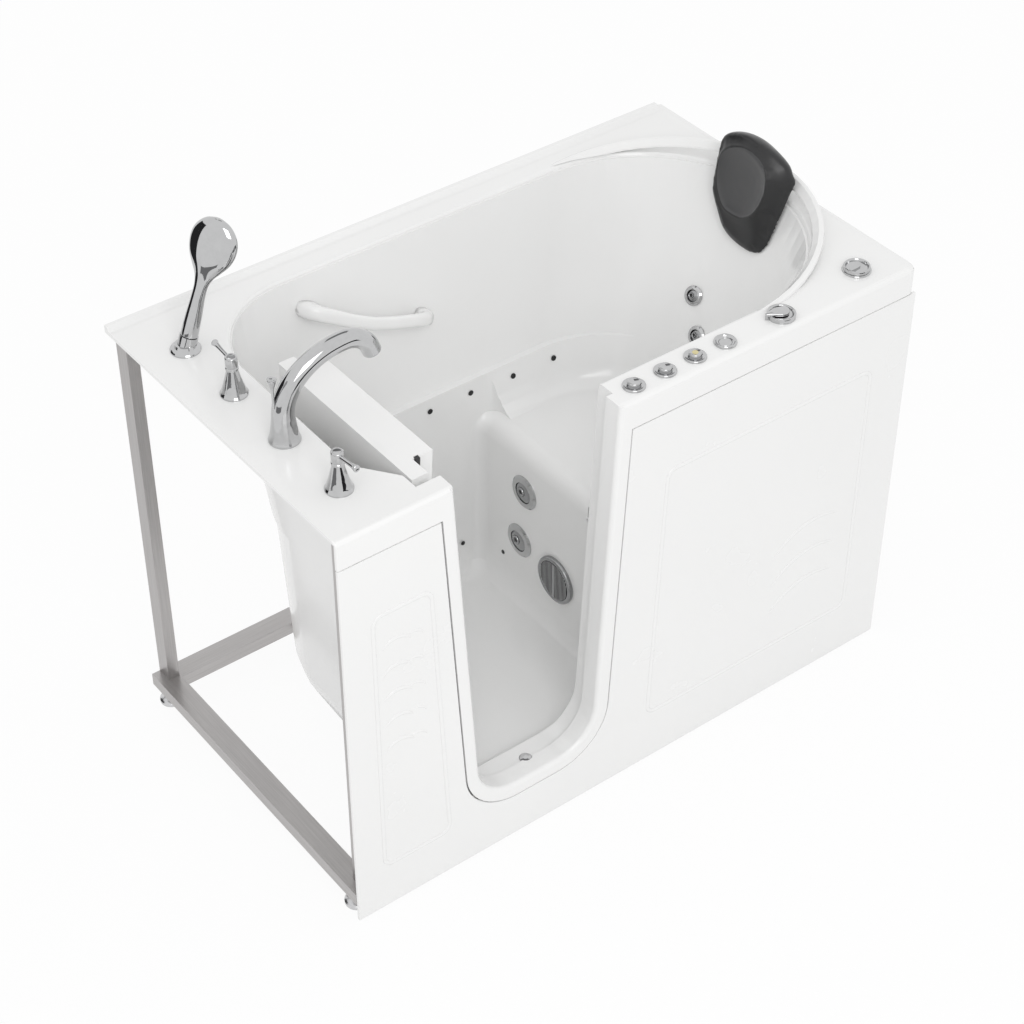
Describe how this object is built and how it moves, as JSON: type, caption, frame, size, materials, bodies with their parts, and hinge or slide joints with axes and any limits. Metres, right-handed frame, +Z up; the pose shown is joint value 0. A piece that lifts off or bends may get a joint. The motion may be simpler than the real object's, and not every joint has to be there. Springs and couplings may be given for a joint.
{
  "type": "walk-in bathtub",
  "caption": "walk-in bathtub with an inward swinging door, moulded seat, jets, grab bar, deck filler and hand shower on a levelling steel frame",
  "frame": {"origin": "middle of the footprint at floor level, under the levelling feet", "axes": "+X along the tub from the tap end to the seat end, +Y from the front skirt and door to the wall side, +Z up"},
  "size_m": [1.346, 0.762, 1.1978],
  "materials": {
    "acrylic": "glossy white acrylic",
    "panel": "glossy white acrylic",
    "steel": "brushed, warm grey",
    "zinc": "zinc plated",
    "chrome": "polished",
    "rubber": "matte",
    "black_plastic": "satin",
    "white_pvc": "satin",
    "grey_plastic": "satin",
    "motor_paint": "satin",
    "cushion": "soft foam skin, satin"
  },
  "bodies": {
    "tub": {"tub_shell": "acrylic", "front_panel": "panel", "frame_long_rails": "steel", "frame_end_rails": "steel", "frame_cross_bars": "steel", "frame_posts": "steel", "floor_pads": "rubber", "seat_support": "steel", "foot_locknuts": "zinc", "hinge_pin": "chrome", "hinge_knuckles": "chrome", "latch_keeper": "chrome", "sill_cap": "chrome", "spout": "chrome", "spout_shank": "zinc", "hot_valve": "chrome", "cold_valve": "chrome", "shower_holder": "chrome", "button_bezels": "chrome", "jet_selector_base": "chrome", "air_control_base": "chrome", "riser_jet_bodies": "chrome", "back_jet_bodies": "chrome", "suction_body": "white_pvc", "suction_cover": "chrome", "air_injectors": "black_plastic", "grab_bar": "acrylic", "headrest": "cushion", "waste_body": "chrome", "overflow_body": "chrome", "water_pump": "black_plastic", "pump_motor": "motor_paint", "water_pipes": "white_pvc", "air_blower": "black_plastic", "control_box": "black_plastic"},
    "door": {"door_panel": "acrylic", "door_gasket": "rubber", "latch_housing": "chrome"},
    "latch": {"latch_handle": "chrome"},
    "hot_lever": {"hot_lever": "chrome"},
    "cold_lever": {"cold_lever": "chrome"},
    "diverter": {"diverter_pull": "chrome"},
    "handset": {"hand_shower": "chrome", "spray_plate": "grey_plastic"},
    "jet_button": {"jet_button": "chrome"},
    "air_button": {"air_button": "chrome"},
    "light_button": {"light_button": "chrome"},
    "heat_button": {"heat_button": "chrome"},
    "jet_selector": {"jet_selector": "chrome"},
    "air_control": {"air_control": "chrome"},
    "riser_jet_upper": {"riser_jet_upper": "chrome"},
    "riser_jet_lower": {"riser_jet_lower": "chrome"},
    "back_jet_upper": {"back_jet_upper": "chrome"},
    "back_jet_lower": {"back_jet_lower": "chrome"},
    "overflow_knob": {"overflow_knob": "chrome"},
    "stopper": {"waste_stopper": "chrome"},
    "foot_front_left": {"foot_front_left": "zinc"},
    "foot_back_left": {"foot_back_left": "zinc"},
    "foot_front_right": {"foot_front_right": "zinc"},
    "foot_back_right": {"foot_back_right": "zinc"}
  },
  "joints": [
    {"name": "door_hinge", "type": "hinge", "parent": "tub", "child": "door", "pos_m": [-0.4635, -0.3125, 0.5475], "axis": [0, 0, 1], "range_deg": [-90, 0]},
    {"name": "latch_turn", "type": "hinge", "parent": "door", "child": "latch", "pos_m": [-0.475, 0.038, 0.64], "axis": [-1, 0, 0], "range_deg": [0, 90]},
    {"name": "hot_lever_turn", "type": "hinge", "parent": "tub", "child": "hot_lever", "pos_m": [-0.586, -0.263, 1.015], "axis": [0, 0, 1], "range_deg": [0, 90]},
    {"name": "cold_lever_turn", "type": "hinge", "parent": "tub", "child": "cold_lever", "pos_m": [-0.586, 0.071, 1.015], "axis": [0, 0, 1], "range_deg": [-90, 0]},
    {"name": "diverter_lift", "type": "slide", "parent": "tub", "child": "diverter", "axis": [0, 0, 1], "range_m": [0, 0.012]},
    {"name": "handset_lift", "type": "slide", "parent": "tub", "child": "handset", "axis": [0.342, 0, 0.9397], "range_m": [0, 0.25]},
    {"name": "jet_press", "type": "slide", "parent": "tub", "child": "jet_button", "axis": [0, 0, 1], "range_m": [-0.004, 0], "stiffness_N_per_m": 800, "springref_m": 0.002},
    {"name": "air_press", "type": "slide", "parent": "tub", "child": "air_button", "axis": [0, 0, 1], "range_m": [-0.004, 0], "stiffness_N_per_m": 800, "springref_m": 0.002},
    {"name": "light_press", "type": "slide", "parent": "tub", "child": "light_button", "axis": [0, 0, 1], "range_m": [-0.004, 0], "stiffness_N_per_m": 800, "springref_m": 0.002},
    {"name": "heat_press", "type": "slide", "parent": "tub", "child": "heat_button", "axis": [0, 0, 1], "range_m": [-0.004, 0], "stiffness_N_per_m": 800, "springref_m": 0.002},
    {"name": "selector_turn", "type": "hinge", "parent": "tub", "child": "jet_selector", "pos_m": [0.35, -0.344, 0.963], "axis": [0, 0, 1], "range_deg": [0, 180]},
    {"name": "air_control_turn", "type": "hinge", "parent": "tub", "child": "air_control", "pos_m": [0.566, -0.319, 0.963], "axis": [0, 0, 1], "range_deg": [0, 90]},
    {"name": "riser_upper_turn", "type": "hinge", "parent": "tub", "child": "riser_jet_upper", "pos_m": [0.072, 0.074, 0.391], "axis": [-1, 0, 0], "range_deg": [-90, 90]},
    {"name": "riser_lower_turn", "type": "hinge", "parent": "tub", "child": "riser_jet_lower", "pos_m": [0.072, 0.09, 0.249], "axis": [-1, 0, 0], "range_deg": [-90, 90]},
    {"name": "back_upper_turn", "type": "hinge", "parent": "tub", "child": "back_jet_upper", "pos_m": [0.50423, 0.0653, 0.707], "axis": [-0.8764, -0.2007, 0.4377], "range_deg": [-90, 90]},
    {"name": "back_lower_turn", "type": "hinge", "parent": "tub", "child": "back_jet_lower", "pos_m": [0.47822, 0.02067, 0.642], "axis": [-0.898, -0.0455, 0.4377], "range_deg": [-90, 90]},
    {"name": "overflow_turn", "type": "hinge", "parent": "tub", "child": "overflow_knob", "pos_m": [0.01, -0.299, 0.8], "axis": [0, 1, 0], "range_deg": [-120, 0]},
    {"name": "stopper_lift", "type": "slide", "parent": "tub", "child": "stopper", "axis": [0, 0, 1], "range_m": [-0.01, 0]},
    {"name": "foot_front_left_turn", "type": "hinge", "parent": "tub", "child": "foot_front_left", "pos_m": [-0.6475, -0.336, 0], "axis": [0, 0, 1], "range_deg": [-180, 180]},
    {"name": "foot_back_left_turn", "type": "hinge", "parent": "tub", "child": "foot_back_left", "pos_m": [-0.6475, 0.354, 0], "axis": [0, 0, 1], "range_deg": [-180, 180]},
    {"name": "foot_front_right_turn", "type": "hinge", "parent": "tub", "child": "foot_front_right", "pos_m": [0.6475, -0.336, 0], "axis": [0, 0, 1], "range_deg": [-180, 180]},
    {"name": "foot_back_right_turn", "type": "hinge", "parent": "tub", "child": "foot_back_right", "pos_m": [0.6475, 0.354, 0], "axis": [0, 0, 1], "range_deg": [-180, 180]}
  ],
  "couplings": [
    {"joint": "stopper_lift", "follows": "overflow_turn", "m_per_rad": 0.004773}
  ]
}
